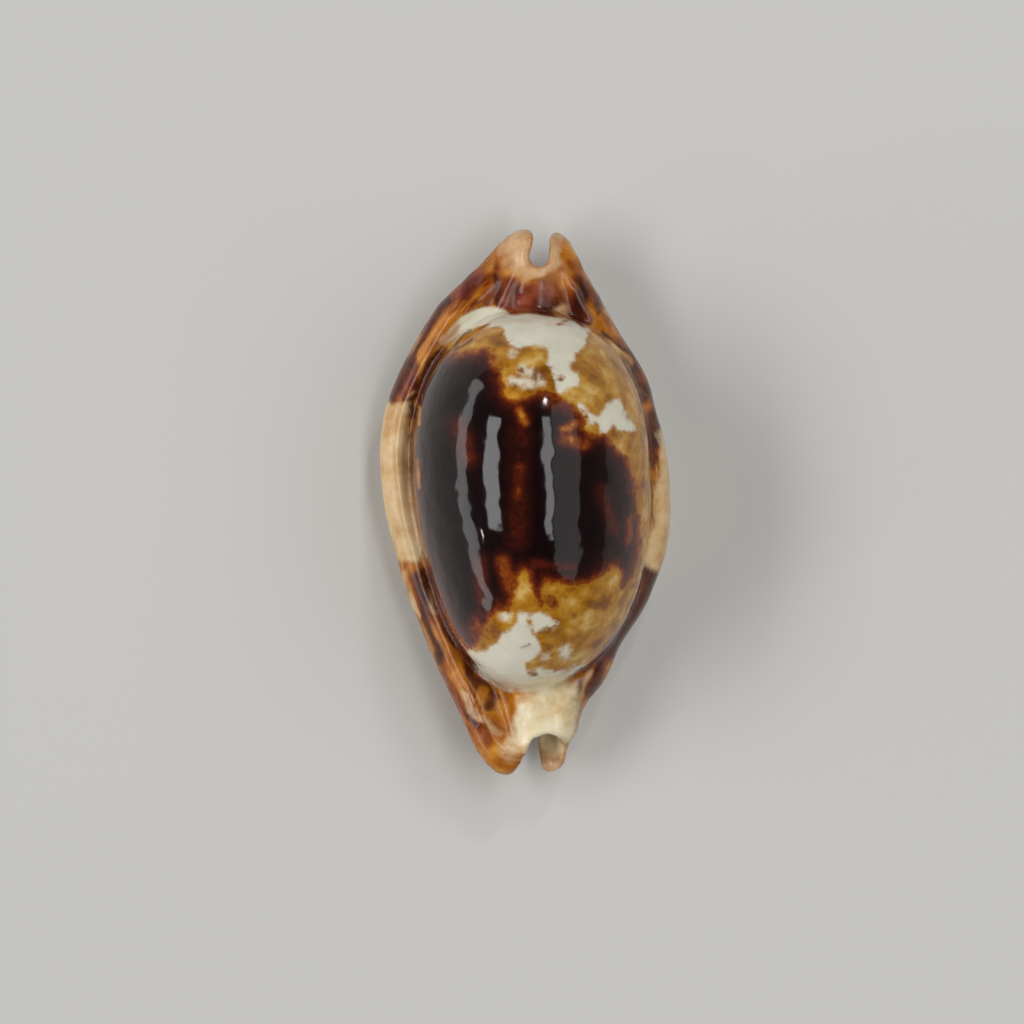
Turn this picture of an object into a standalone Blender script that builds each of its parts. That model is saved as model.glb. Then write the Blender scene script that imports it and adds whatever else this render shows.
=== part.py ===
"""A stolid cowrie shell, 30 mm long, as one closed solid that rests on the flat of its base.

Seen from straight above, +Y is the posterior end, with the narrow notch between two horns, and -Y is the
anterior end, with the open canal. -X is the labral side, the broad outer lip, and +X is the columellar side.
+Z is up, towards the dorsum. The origin is the middle of the footprint, on the plane that the base rests on.

The shell is described by smooth fields over x, y and z in millimetres. A field is negative inside its form,
positive outside, and zero on the surface. The forms are the callus of the margins and base, the dome of the
dorsum, the two canal tubes, the hollow, the aperture with its teeth, and the notches.
A rough body is cut from primitives with Booleans and remeshed, and its vertices then settle onto the surface.
"""

import bmesh
import bpy
import numpy as np
from mathutils import Matrix, Vector

MM = 0.001

# The whole shell
SHELL_LENGTH = 30.0
DORSUM_TOP = 12.95
WALL = 1.15
BASE_WALL = 2.35

# Outline of the margins in plan: place along the shell, labral edge, columellar edge.
# The first and last rows lie past the tips, to give the outline its direction there.
MARGIN_OUTLINE = [
    (15.8, 0.45, 1.50),
    (14.6, -0.90, 2.22),
    (14.1, -1.46, 2.54),
    (13.2, -2.30, 3.04),
    (12.2, -3.34, 3.55),
    (11.0, -4.56, 4.22),
    (9.0, -5.92, 5.38),
    (7.0, -6.98, 6.62),
    (5.0, -7.70, 7.22),
    (3.0, -7.99, 7.74),
    (1.0, -7.90, 7.97),
    (-1.0, -7.60, 8.00),
    (-3.0, -7.07, 7.70),
    (-5.0, -6.52, 6.95),
    (-6.0, -6.12, 6.50),
    (-8.0, -5.32, 5.20),
    (-10.0, -4.40, 4.28),
    (-11.0, -3.88, 3.46),
    (-11.8, -3.55, 3.00),
    (-12.5, -3.26, 2.83),
    (-13.2, -2.94, 2.43),
    (-14.0, -2.43, 2.18),
    (-15.0, -1.68, 1.84),
    (-16.0, -0.80, 1.40),
]
POSTERIOR_TIP_X = 0.05
POSTERIOR_TIP_SLANT = 0.15
POSTERIOR_TIP_SPARE = 0.02
ANTERIOR_TIP_SPARE = 0.03

# The callus of the margins and base, in section
MARGIN_MID_HEIGHT = 2.2
MARGIN_END_LIFT = 1.05
MARGIN_CREST = 4.05
MARGIN_CREST_LIFT = 0.75
MARGIN_CREST_FALL = 0.35
MARGIN_ROUND = 1.45
MARGIN_ROUND_SKEW = 0.2
MARGIN_ROUND_SKEW_WIDTH = 2.0
BASE_ROUND = 4.5
BASE_END_ROUND = 2.2
BASE_FLAT_HALF_LENGTH = 4.5
BASE_FLAT_CUT = 0.08
BASE_RISE_POSTERIOR = 0.020
BASE_RISE_ANTERIOR = 0.015

# The groove between the margin and the dome: its depth, its slope across the margin, how it fades behind
GROOVE_DEPTH = 0.75
GROOVE_SLOPE = (0.95, 2.3)
GROOVE_FADE = 0.6
GROOVE_FADE_SPAN = (8.0, 11.0)

# Where the section changes along the shell, as fractions of the half length
MID_HEIGHT_SPAN = (0.4, 0.95)
CREST_LIFT_SPAN = (0.3, 0.72)
CREST_FALL_SPAN = (0.8, 1.0)
BASE_ROUND_SPAN = (0.35, 0.95)
GROOVE_END_SPAN = (0.88, 1.0)

# The dome of the dorsum, whose middle line swings over to the columellar side in front
DOME_X = 0.28
DOME_SWING = 0.35
DOME_SWING_Y = -5.0
DOME_SWING_LENGTH = 4.5
DOME_Y = 1.5
DOME_Z = 4.2
DOME_HALF_WIDTH = 6.6
DOME_POSTERIOR = 9.05
DOME_ANTERIOR = 11.9
DOME_BELOW = 3.5
DOME_POWER_ACROSS = 2.1
DOME_POWER_POSTERIOR = 2.4
DOME_POWER_ANTERIOR = 2.0
DOME_POWER = 2.05

# The two canal tubes that run out of the dome: start, end, radius at each
POSTERIOR_TUBE = ((0.3, 8.0, 3.9), (0.72, 13.6, 3.15), 2.2, 1.75)
ANTERIOR_TUBE = ((0.7, -8.0, 3.4), (1.1, -13.8, 3.1), 2.3, 1.75)
TUBE_INSET = 0.12

# The aperture: its centreline and its width
APERTURE_LINE = [
    (16.0, 0.90),
    (13.5, 0.72),
    (11.5, 0.30),
    (9.0, -0.45),
    (6.0, -0.95),
    (2.0, -1.10),
    (-2.0, -0.95),
    (-6.0, -0.55),
    (-10.0, 0.12),
    (-13.0, 0.42),
    (-16.0, 0.55),
]
APERTURE_WIDTH = 1.05
FRONT_WIDENING = 0.45
FRONT_WIDENING_SPAN = (4.0, 9.0)
CANAL_NARROWING = 0.95
CANAL_NARROWING_SPAN = (10.5, 13.2)
BACK_NARROWING = 0.1
BACK_NARROWING_SPAN = (4.0, 10.0)
APERTURE_ENDS = (-17.0, 13.6)
APERTURE_TOP = 5.2
CANAL_TOP = 3.1
CANAL_TOP_SPAN = (8.0, 10.5)

# The teeth on both lips
TOOTH_PITCH = 1.37
TOOTH_DEPTH = 0.30
TOOTH_ROW_MIDDLE = -0.3
TOOTH_ROW_HALF = 11.2
TOOTH_ROW_FADE = 1.6
TOOTH_OFFSET = 0.35
TOOTH_SHARPNESS = 0.8
TOOTH_HEIGHTS = (1.6, 2.6)
LABRAL_TOOTH = 2.5
COLUMELLAR_TOOTH = 1.55
TOOTH_FULL = 0.35
SLIT_TOOTH = 0.22
SLIT_TOOTH_HEIGHTS = (1.4, 2.4)
LIP_LIFT = 0.10
LIP_PLACE = 0.2
LIP_WIDTH = 1.3
LIP_HEIGHTS = (1.0, 3.0)

# The columella, the inner whorl that shows through the aperture as a roll
COLUMELLA = ((1.9, -8.5, 3.8), (1.7, 8.0, 4.2), 2.0, 2.2)
COLUMELLA_CORE = ((1.9, -11.0, 3.7), (1.7, 11.0, 4.2), 2.0, 2.2)

# Bores of the canals and the notches at the two ends
POSTERIOR_BORE = ((0.4, 9.0, 3.6), (0.8, 16.0, 2.6), 0.75, 0.60)
ANTERIOR_BORE = ((0.6, -8.0, 3.7), (1.15, -16.0, 3.3), 0.80, 0.90)
NOTCH_THROAT = ((0.77, 13.49, 0.0), (0.95, 14.5, 0.0), 0.57, 0.44)
NOTCH_MOUTH = ((0.95, 14.5, 0.0), (1.10, 16.0, 0.0), 0.44, 0.90)
SPOUT = ((1.32, -13.68, 0.0), (1.42, -16.5, 0.0), 0.92, 1.0)
SPOUT_FLOOR = 3.3
ANTERIOR_SLIT = ((0.52, -13.05, 0.0), (0.30, -14.4, 0.0), 0.05, 0.56)
ANTERIOR_SLIT_MOUTH = ((0.30, -14.4, 0.0), (0.22, -15.4, 0.0), 0.56, 1.25)

# How widely each form runs into the next
SIDES_JOIN = 0.8
TIPS_JOIN = 0.5
SIDES_TO_TIPS_JOIN = 1.0
DOME_JOIN = 0.5
TUBE_EDGE_JOIN = 0.5
POSTERIOR_TUBE_JOIN = 0.6
ANTERIOR_TUBE_JOIN = 0.8
RESTING_EDGE = 0.06
HOLLOW_JOIN = 0.8
SLIT_TOP_JOIN = 0.5
SLIT_END_JOIN = 0.4
SLIT_TO_HOLLOW_JOIN = 0.5
BORE_JOIN = 0.4
APERTURE_EDGE = 0.55
NOTCH_EDGE = 0.45
SPOUT_FLOOR_JOIN = 0.3
SPOUT_EDGE = 0.35
ANTERIOR_SLIT_EDGE = 0.3

# The rough body and its cutters: each blown sphere's centre, proportions and number of meridians
ROUGH_BODY = ((0.3, 0.0, 3.0), (8.0, 15.0, 7.0), 120)
ROUGH_HOLLOW = ((0.3, 1.0, 5.0), (6.0, 9.0, 6.0), 72)
RAY_HALVINGS = 40
SLIT_CUTS = 40
CUTTER_SIDES = 24
CUTTER_LOW = -1.0
CUTTER_HIGH = 8.0
ROUGH_NOTCH = ((0.77, 13.49, 0.0), (1.10, 16.0, 0.0), 0.5, 0.5)

# How finely the surface is meshed
ROUGH_VOXEL = 0.22
FINE_VOXEL = 0.20
TRIANGLES = 9600
FLAT_SNAP = 0.02
CREASE_ANGLE = 0.8

# How the mesh settles: the step that reads a slope, the shallowest slope that is trusted, the longest move,
# and the share of the way that each vertex moves towards the middle of its neighbours
NUDGE = 0.01
SHALLOWEST = 0.3
LONGEST_STEP = 0.25
RELAXATION = 0.4
TINY = 1e-6


# Smooth joins and steps

def soft_min(a, b, blend):
    """The lower of two fields, rounded over where they are within blend of each other."""
    near = np.maximum(blend - np.abs(a - b), 0.0) / blend
    return np.minimum(a, b) - near ** 3 * blend / 6.0


def soft_max(a, b, blend):
    """The higher of two fields, rounded in the same way."""
    return -soft_min(-a, -b, blend)


def ease(value, low, high):
    """0 below low, 1 above high, and a smooth step between."""
    t = np.clip((value - low) / (high - low), 0.0, 1.0)
    return t * t * (3.0 - 2.0 * t)


def spline_table(rows, column, step=0.02):
    """A natural cubic spline through one column of rows, as evenly spaced places and values."""
    rows = sorted(rows)
    place = np.array([row[0] for row in rows])
    value = np.array([row[column] for row in rows])
    gap = np.diff(place)
    slope = np.diff(value) / gap
    system = np.eye(len(place))
    right = np.zeros(len(place))
    for i in range(1, len(place) - 1):
        system[i, i - 1:i + 2] = gap[i - 1], 2.0 * (gap[i - 1] + gap[i]), gap[i]
        right[i] = 6.0 * (slope[i] - slope[i - 1])
    bend = np.linalg.solve(system, right)
    fine = np.arange(place[0], place[-1], step)
    i = np.clip(np.searchsorted(place, fine, side="right") - 1, 0, len(gap) - 1)
    a = (place[i + 1] - fine) / gap[i]
    b = 1.0 - a
    curve = a * value[i] + b * value[i + 1]
    curve += ((a ** 3 - a) * bend[i] + (b ** 3 - b) * bend[i + 1]) * gap[i] ** 2 / 6.0
    return fine, curve


OUTLINE_Y, LABRAL_EDGE = spline_table(MARGIN_OUTLINE, 1)
COLUMELLAR_EDGE = spline_table(MARGIN_OUTLINE, 2)[1]
LABRAL_SLOPE = np.gradient(LABRAL_EDGE, OUTLINE_Y)
COLUMELLAR_SLOPE = np.gradient(COLUMELLAR_EDGE, OUTLINE_Y)
APERTURE_Y, APERTURE_X = spline_table(APERTURE_LINE, 1)


def taper_bar(x, y, z, bar):
    """Distance to a round bar whose radius changes evenly from its start to its end."""
    start, end, radius_start, radius_end = bar
    sx, sy, sz = start
    dx, dy, dz = (end[i] - start[i] for i in range(3))
    t = ((x - sx) * dx + (y - sy) * dy + (z - sz) * dz) / (dx * dx + dy * dy + dz * dz)
    t = np.clip(t, 0.0, 1.0)
    away = np.sqrt((x - sx - t * dx) ** 2 + (y - sy - t * dy) ** 2 + (z - sz - t * dz) ** 2)
    return away - (radius_start + (radius_end - radius_start) * t)


# The outside of the shell

def plan_depth(x, y):
    """How far a place lies inside the outline of the margins, seen from above."""
    labral = x - np.interp(y, OUTLINE_Y, LABRAL_EDGE)
    labral /= np.hypot(1.0, np.interp(y, OUTLINE_Y, LABRAL_SLOPE))
    columellar = np.interp(y, OUTLINE_Y, COLUMELLAR_EDGE) - x
    columellar /= np.hypot(1.0, np.interp(y, OUTLINE_Y, COLUMELLAR_SLOPE))
    posterior = SHELL_LENGTH / 2 + POSTERIOR_TIP_SPARE - POSTERIOR_TIP_SLANT * (x - POSTERIOR_TIP_X) - y
    posterior /= np.hypot(1.0, POSTERIOR_TIP_SLANT)
    anterior = SHELL_LENGTH / 2 + ANTERIOR_TIP_SPARE + y
    tips = soft_min(posterior, anterior, TIPS_JOIN)
    return soft_min(soft_min(labral, columellar, SIDES_JOIN), tips, SIDES_TO_TIPS_JOIN)


def callus(x, y, z, depth):
    """The thick rim of the margins, with the groove inside it, and the gently rounded base."""
    along = np.abs(y) * 2.0 / SHELL_LENGTH
    mid = MARGIN_MID_HEIGHT + MARGIN_END_LIFT * ease(along, *MID_HEIGHT_SPAN)
    crest = MARGIN_CREST + MARGIN_CREST_LIFT * ease(along, *CREST_LIFT_SPAN)
    crest -= MARGIN_CREST_FALL * ease(along, *CREST_FALL_SPAN)
    rise = np.where(y > 0.0, BASE_RISE_POSTERIOR, BASE_RISE_ANTERIOR)
    base = rise * np.maximum(np.abs(y) - BASE_FLAT_HALF_LENGTH, 0.0) ** 2 - BASE_FLAT_CUT
    groove = GROOVE_DEPTH * ease(depth, *GROOVE_SLOPE) * (1.0 - ease(along, *GROOVE_END_SPAN))
    groove *= 1.0 - GROOVE_FADE * ease(y, *GROOVE_FADE_SPAN)
    round_above = MARGIN_ROUND - MARGIN_ROUND_SKEW * np.tanh(x / MARGIN_ROUND_SKEW_WIDTH)
    round_below = BASE_ROUND + (BASE_END_ROUND - BASE_ROUND) * ease(along, *BASE_ROUND_SPAN)
    inset_above = np.maximum(1.0 - depth / round_above, 0.0)
    inset_below = np.maximum(1.0 - depth / round_below, 0.0)
    up = np.maximum(z - mid + groove, 0.0) / (crest - mid)
    down = np.minimum(z - mid, 0.0) / (mid - base)
    above = (np.hypot(inset_above, up) - 1.0) * round_above
    below = (np.hypot(inset_below, down) - 1.0) * round_below
    body = np.where(z > mid - groove, above, below)
    return np.where(depth < 0.0, np.maximum(body, -depth), body)


def dome(x, y, z, grow=0.0):
    """The egg of the dorsum, blunt behind and drawn out in front; grow moves its surface outwards."""
    centre = DOME_X + DOME_SWING * np.exp(-((y - DOME_SWING_Y) / DOME_SWING_LENGTH) ** 2)
    length = np.where(y > DOME_Y, DOME_POSTERIOR, DOME_ANTERIOR) + grow
    power = np.where(y > DOME_Y, DOME_POWER_POSTERIOR, DOME_POWER_ANTERIOR)
    height = np.where(z > DOME_Z, DORSUM_TOP - DOME_Z, DOME_BELOW) + grow
    across = (np.abs(x - centre) / (DOME_HALF_WIDTH + grow)) ** DOME_POWER_ACROSS
    ratio = across + (np.abs(y - DOME_Y) / length) ** power + ((z - DOME_Z) / height) ** 2
    ratio = ratio ** (1.0 / DOME_POWER)
    reach = np.sqrt((x - centre) ** 2 + (y - DOME_Y) ** 2 + (z - DOME_Z) ** 2)
    return (ratio - 1.0) * reach / np.maximum(ratio, TINY)


def outside(x, y, z):
    """The whole shell as if it were solid, cut flat where it rests."""
    depth = plan_depth(x, y)
    body = soft_min(callus(x, y, z, depth), dome(x, y, z), DOME_JOIN)
    for tube, join in ((POSTERIOR_TUBE, POSTERIOR_TUBE_JOIN), (ANTERIOR_TUBE, ANTERIOR_TUBE_JOIN)):
        body = soft_min(body, soft_max(taper_bar(x, y, z, tube), TUBE_INSET - depth, TUBE_EDGE_JOIN), join)
    return soft_max(body, -z, RESTING_EDGE)


# The inside, the aperture and the ends

def aperture_half_width(y):
    """The slit widens towards the front and narrows again into the anterior canal."""
    width = APERTURE_WIDTH + FRONT_WIDENING * ease(-y, *FRONT_WIDENING_SPAN)
    width -= CANAL_NARROWING * ease(-y, *CANAL_NARROWING_SPAN)
    width -= BACK_NARROWING * ease(y, *BACK_NARROWING_SPAN)
    return width / 2.0


def aperture_top(y):
    """The slit reaches the hollow in the middle, and only the canals at the ends."""
    return APERTURE_TOP - (APERTURE_TOP - CANAL_TOP) * ease(np.abs(y), *CANAL_TOP_SPAN)


def solid_field(points):
    """The shell itself: the outside less the hollow, the aperture, the canals and the notches."""
    x, y, z = points[:, 0], points[:, 1], points[:, 2]
    across = x - np.interp(y, APERTURE_Y, APERTURE_X)
    half = aperture_half_width(y)

    # The two rows of teeth are half a pitch apart, and fade out past the ends of the aperture
    row = 1.0 - ease(np.abs(y - TOOTH_ROW_MIDDLE), TOOTH_ROW_HALF - TOOTH_ROW_FADE, TOOTH_ROW_HALF)
    between = 0.5 - 0.5 * np.cos(2.0 * np.pi * (y + TOOTH_OFFSET * np.sign(across)) / TOOTH_PITCH)
    between = between ** TOOTH_SHARPNESS
    reach = np.where(across < 0.0, LABRAL_TOOTH, COLUMELLAR_TOOTH)
    beside = 1.0 - ease(np.abs(across) - half, TOOTH_FULL * reach, reach)
    low = 1.0 - ease(z, *TOOTH_HEIGHTS)
    lip = np.exp(-((np.abs(across) - LIP_PLACE) / LIP_WIDTH) ** 2) * (1.0 - ease(z, *LIP_HEIGHTS))
    body = outside(x, y, z) + TOOTH_DEPTH * between * beside * row * low + LIP_LIFT * lip

    hollow = soft_max(dome(x, y, z, -WALL), BASE_WALL - z, HOLLOW_JOIN)
    hollow = soft_max(hollow, -taper_bar(x, y, z, COLUMELLA), HOLLOW_JOIN)
    slit = soft_max(np.abs(across) - half, z - aperture_top(y), SLIT_TOP_JOIN)
    slit = soft_max(slit, np.maximum(y - APERTURE_ENDS[1], APERTURE_ENDS[0] - y), SLIT_END_JOIN)
    slit += SLIT_TOOTH * (1.0 - between) * row * (1.0 - ease(z, *SLIT_TOOTH_HEIGHTS))
    hollow = soft_min(hollow, slit, SLIT_TO_HOLLOW_JOIN)
    for bore in (POSTERIOR_BORE, ANTERIOR_BORE):
        hollow = soft_min(hollow, taper_bar(x, y, z, bore), BORE_JOIN)
    body = soft_max(body, -hollow, APERTURE_EDGE)

    flat = np.zeros_like(z)
    notch = np.minimum(taper_bar(x, y, flat, NOTCH_THROAT), taper_bar(x, y, flat, NOTCH_MOUTH))
    spout = soft_max(taper_bar(x, y, flat, SPOUT), SPOUT_FLOOR - z, SPOUT_FLOOR_JOIN)
    body = soft_max(body, -notch, NOTCH_EDGE)
    body = soft_max(body, -spout, SPOUT_EDGE)
    slit = np.minimum(taper_bar(x, y, flat, ANTERIOR_SLIT), taper_bar(x, y, flat, ANTERIOR_SLIT_MOUTH))
    return soft_max(body, -slit, ANTERIOR_SLIT_EDGE)


# The rough body and its cutters, in millimetres

def mesh_object(name, bm, collection):
    """Put a bmesh into a new object."""
    bmesh.ops.recalc_face_normals(bm, faces=bm.faces)
    mesh = bpy.data.meshes.new(name)
    bm.to_mesh(mesh)
    bm.free()
    obj = bpy.data.objects.new(name, mesh)
    collection.objects.link(obj)
    return obj


def cutter_object(name, bm):
    """A cutter is a guide, so it is drawn as a wire and never rendered."""
    obj = mesh_object(name, bm, cutters)
    obj.hide_render = True
    obj.display_type = "WIRE"
    return obj


def blown_sphere(form, centre, proportions, segments):
    """A sphere whose points slide along their rays, halving the gap each time, to a form's surface."""
    bm = bmesh.new()
    bmesh.ops.create_uvsphere(bm, u_segments=segments, v_segments=segments * 2 // 3, radius=1.0)
    ray = np.array([vert.co for vert in bm.verts]) * proportions
    ray /= np.linalg.norm(ray, axis=1)[:, None]
    near = np.zeros(len(ray))
    far = np.full(len(ray), SHELL_LENGTH)
    for _ in range(RAY_HALVINGS):
        middle = (near + far) / 2.0
        place = np.array(centre) + ray * middle[:, None]
        within = form(place[:, 0], place[:, 1], place[:, 2]) < 0.0
        near = np.where(within, middle, near)
        far = np.where(within, far, middle)
    for vert, co in zip(bm.verts, np.array(centre) + ray * near[:, None]):
        vert.co = co
    return bm


def rough_hollow(x, y, z):
    """The hollow over the floor of the base, without the columella."""
    return np.maximum(dome(x, y, z, -WALL), BASE_WALL - z)


def slit_bmesh():
    """A bar that follows the aperture from below the base into the hollow and the canals."""
    bm = bmesh.new()
    bmesh.ops.create_cube(bm, size=1.0)
    lengthwise = [e for e in bm.edges if abs(e.verts[0].co.y - e.verts[1].co.y) > 0.5]
    bmesh.ops.subdivide_edges(bm, edges=lengthwise, cuts=SLIT_CUTS, use_grid_fill=True)
    start, end = APERTURE_ENDS
    for vert in bm.verts:
        y = start + (end - start) * (vert.co.y + 0.5)
        side = np.sign(vert.co.x)
        x = np.interp(y, APERTURE_Y, APERTURE_X) + side * aperture_half_width(y)
        z = float(aperture_top(y)) if vert.co.z > 0.0 else CUTTER_LOW
        vert.co = (x, y, z)
    return bm


def bar_bmesh(bar):
    """A cone frustum along a tapering bar."""
    start, end, radius_start, radius_end = bar
    axis = Vector(end) - Vector(start)
    middle = Matrix.Translation((Vector(start) + Vector(end)) / 2)
    place = middle @ axis.to_track_quat("Z", "Y").to_matrix().to_4x4()
    bm = bmesh.new()
    bmesh.ops.create_cone(bm, cap_ends=True, segments=CUTTER_SIDES, radius1=radius_start, radius2=radius_end,
                          depth=axis.length, matrix=place)
    return bm


def notch_bmesh(bar, low, high):
    """An upright cylinder at the bar's start, drawn out in plan to the bar's end."""
    start, end, radius_start, radius_end = bar
    bm = bmesh.new()
    bmesh.ops.create_cone(bm, cap_ends=True, segments=CUTTER_SIDES, radius1=radius_start,
                          radius2=radius_start, depth=high - low)
    outward = np.sign(end[1] - start[1])
    for vert in bm.verts:
        past = vert.co.y * outward > 0.0
        foot, spread = (end, radius_end / radius_start) if past else (start, 1.0)
        vert.co = (foot[0] + vert.co.x * spread, foot[1] + vert.co.y * spread, vert.co.z + (low + high) / 2)
    return bm


def settled(mesh, rounds, relax_rounds):
    """Move every vertex onto the surface of the shell, evening the mesh out on the way."""
    count = len(mesh.vertices)
    place = np.empty(count * 3)
    mesh.vertices.foreach_get("co", place)
    place = place.reshape(-1, 3)
    edges = np.empty(len(mesh.edges) * 2, dtype=int)
    mesh.edges.foreach_get("vertices", edges)
    edges = edges.reshape(-1, 2)
    links = np.bincount(edges.ravel(), minlength=count)[:, None]
    for turn in range(rounds):
        value = solid_field(place)
        slope = np.empty_like(place)
        for axis in range(3):
            shifted = place.copy()
            shifted[:, axis] += NUDGE
            slope[:, axis] = (solid_field(shifted) - value) / NUDGE
        steep = np.linalg.norm(slope, axis=1)
        step = np.clip(value / np.maximum(steep, SHALLOWEST), -LONGEST_STEP, LONGEST_STEP)
        place -= (step / np.maximum(steep, TINY))[:, None] * slope
        if turn < relax_rounds:
            total = np.zeros_like(place)
            for axis in range(3):
                total[:, axis] += np.bincount(edges[:, 0], place[edges[:, 1], axis], count)
                total[:, axis] += np.bincount(edges[:, 1], place[edges[:, 0], axis], count)
            place += RELAXATION * (total / links - place)
    mesh.vertices.foreach_set("co", place.ravel())
    mesh.update()


def evaluated_mesh(obj):
    """The object's mesh with its modifiers applied."""
    graph = bpy.context.evaluated_depsgraph_get()
    return bpy.data.meshes.new_from_object(obj.evaluated_get(graph))


def apply_modifiers(obj):
    """Swap the object's mesh for its evaluated one and drop the modifiers."""
    mesh = evaluated_mesh(obj)
    obj.modifiers.clear()
    obj.data = mesh


def cut(body, cutter):
    """Take the cutter's shape out of the body."""
    boolean = body.modifiers.new("cut " + cutter.name, "BOOLEAN")
    boolean.operation = "DIFFERENCE"
    boolean.solver = "EXACT"
    boolean.object = cutter
    apply_modifiers(body)


def remesh(body, voxel):
    """Cover the body with an even mesh."""
    modifier = body.modifiers.new("remesh", "REMESH")
    modifier.mode = "VOXEL"
    modifier.voxel_size = voxel
    apply_modifiers(body)


def thin_out(body, triangles):
    """Bring the mesh down to a number of triangles, fewest where it is flattest."""
    faces = sum(len(p.vertices) - 2 for p in body.data.polygons)
    modifier = body.modifiers.new("thin out", "DECIMATE")
    modifier.ratio = triangles / faces
    modifier.use_collapse_triangulate = True
    apply_modifiers(body)


# The enamel-like callus that covers the whole shell

def enamel_material():
    """Glossy brown and cream porcelain, here as one mean colour."""
    material = bpy.data.materials.new("porcelaneous enamel")
    material.use_nodes = True
    shader = material.node_tree.nodes["Principled BSDF"]
    shader.inputs["Base Color"].default_value = (0.36, 0.19, 0.09, 1.0)
    shader.inputs["Roughness"].default_value = 0.12
    shader.inputs["Metallic"].default_value = 0.0
    return material


# The scene

for leftover in list(bpy.data.objects):
    bpy.data.objects.remove(leftover)

parts = bpy.data.collections.new("stolid cowrie")
cutters = bpy.data.collections.new("cutters")
bpy.context.scene.collection.children.link(parts)
bpy.context.scene.collection.children.link(cutters)

body = mesh_object("shell", blown_sphere(outside, *ROUGH_BODY), parts)
hollow = cutter_object("hollow", blown_sphere(rough_hollow, *ROUGH_HOLLOW))
cut(hollow, cutter_object("columella", bar_bmesh(COLUMELLA_CORE)))
cut(body, hollow)
cut(body, cutter_object("aperture", slit_bmesh()))
cut(body, cutter_object("posterior bore", bar_bmesh(POSTERIOR_BORE)))
cut(body, cutter_object("anterior bore", bar_bmesh(ANTERIOR_BORE)))
cut(body, cutter_object("posterior notch", notch_bmesh(ROUGH_NOTCH, CUTTER_LOW, CUTTER_HIGH)))
cut(body, cutter_object("spout", notch_bmesh(SPOUT, SPOUT_FLOOR, CUTTER_HIGH)))
cut(body, cutter_object("anterior slit", notch_bmesh(ANTERIOR_SLIT, CUTTER_LOW, CUTTER_HIGH)))
cut(body, cutter_object("anterior slit mouth", notch_bmesh(ANTERIOR_SLIT_MOUTH, CUTTER_LOW, CUTTER_HIGH)))

remesh(body, ROUGH_VOXEL)
settled(body.data, rounds=10, relax_rounds=6)
remesh(body, FINE_VOXEL)
settled(body.data, rounds=12, relax_rounds=5)
thin_out(body, TRIANGLES)
for vert in body.data.vertices:
    if vert.co.z < FLAT_SNAP:
        vert.co.z = 0.0

body.data.transform(Matrix.Scale(MM, 4))
body.data.shade_smooth()
body.data.set_sharp_from_angle(angle=CREASE_ANGLE)
body.data.materials.clear()
body.data.materials.append(enamel_material())
for guide in cutters.objects:
    guide.data.transform(Matrix.Scale(MM, 4))
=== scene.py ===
"""The looks of a stolid cowrie shell 30 mm long: one piece of glazed, patterned shell, seen from above."""

import bmesh
import bpy
import numpy as np
from mathutils import Matrix, Vector, noise


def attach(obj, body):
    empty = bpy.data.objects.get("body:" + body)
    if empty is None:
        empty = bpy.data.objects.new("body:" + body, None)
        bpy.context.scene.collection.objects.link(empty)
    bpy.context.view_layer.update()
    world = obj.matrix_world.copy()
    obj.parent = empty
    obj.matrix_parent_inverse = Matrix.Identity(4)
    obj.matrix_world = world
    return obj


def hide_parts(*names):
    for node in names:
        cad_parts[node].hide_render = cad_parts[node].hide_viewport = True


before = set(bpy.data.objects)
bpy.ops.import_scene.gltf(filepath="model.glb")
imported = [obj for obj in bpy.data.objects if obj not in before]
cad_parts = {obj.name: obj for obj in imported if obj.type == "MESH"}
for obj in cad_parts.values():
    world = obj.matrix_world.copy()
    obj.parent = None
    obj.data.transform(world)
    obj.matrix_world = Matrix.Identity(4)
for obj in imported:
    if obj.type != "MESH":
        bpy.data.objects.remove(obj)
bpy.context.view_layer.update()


# The shell
# A cowrie is one piece of aragonite that the animal's mantle laid down from outside, coat upon coat, so the
# whole outside is a natural enamel as glossy as glazed porcelain. The colours lie in and under that enamel.
# It is made as one closed mesh: the CAD solid under an even skin that settles onto the shell's true form.

MM = 0.001

# Sizes in millimetres, as in the CAD solid
SHELL_LENGTH = 30.0
DORSUM_TOP = 12.95
WALL = 1.15
BASE_WALL = 2.35

# Outline of the margins in plan: place along the shell, labral edge, columellar edge.
# The first and last rows lie past the tips, to give the outline its direction there.
MARGIN_OUTLINE = [
    (15.8, 0.45, 1.50), (14.6, -0.90, 2.22), (14.1, -1.46, 2.54), (13.2, -2.30, 3.04),
    (12.2, -3.34, 3.55), (11.0, -4.56, 4.22), (9.0, -5.92, 5.38), (7.0, -6.98, 6.62),
    (5.0, -7.70, 7.22), (3.0, -7.99, 7.74), (1.0, -7.90, 7.97), (-1.0, -7.60, 8.00),
    (-3.0, -7.07, 7.70), (-5.0, -6.52, 6.95), (-6.0, -6.12, 6.50), (-8.0, -5.32, 5.20),
    (-10.0, -4.40, 4.28), (-11.0, -3.88, 3.46), (-11.8, -3.55, 3.00), (-12.5, -3.26, 2.83),
    (-13.2, -2.94, 2.43), (-14.0, -2.43, 2.18), (-15.0, -1.68, 1.84), (-16.0, -0.80, 1.40),
]
POSTERIOR_TIP_X = 0.05
POSTERIOR_TIP_SLANT = 0.15
POSTERIOR_TIP_SPARE = 0.02
ANTERIOR_TIP_SPARE = 0.03

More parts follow.
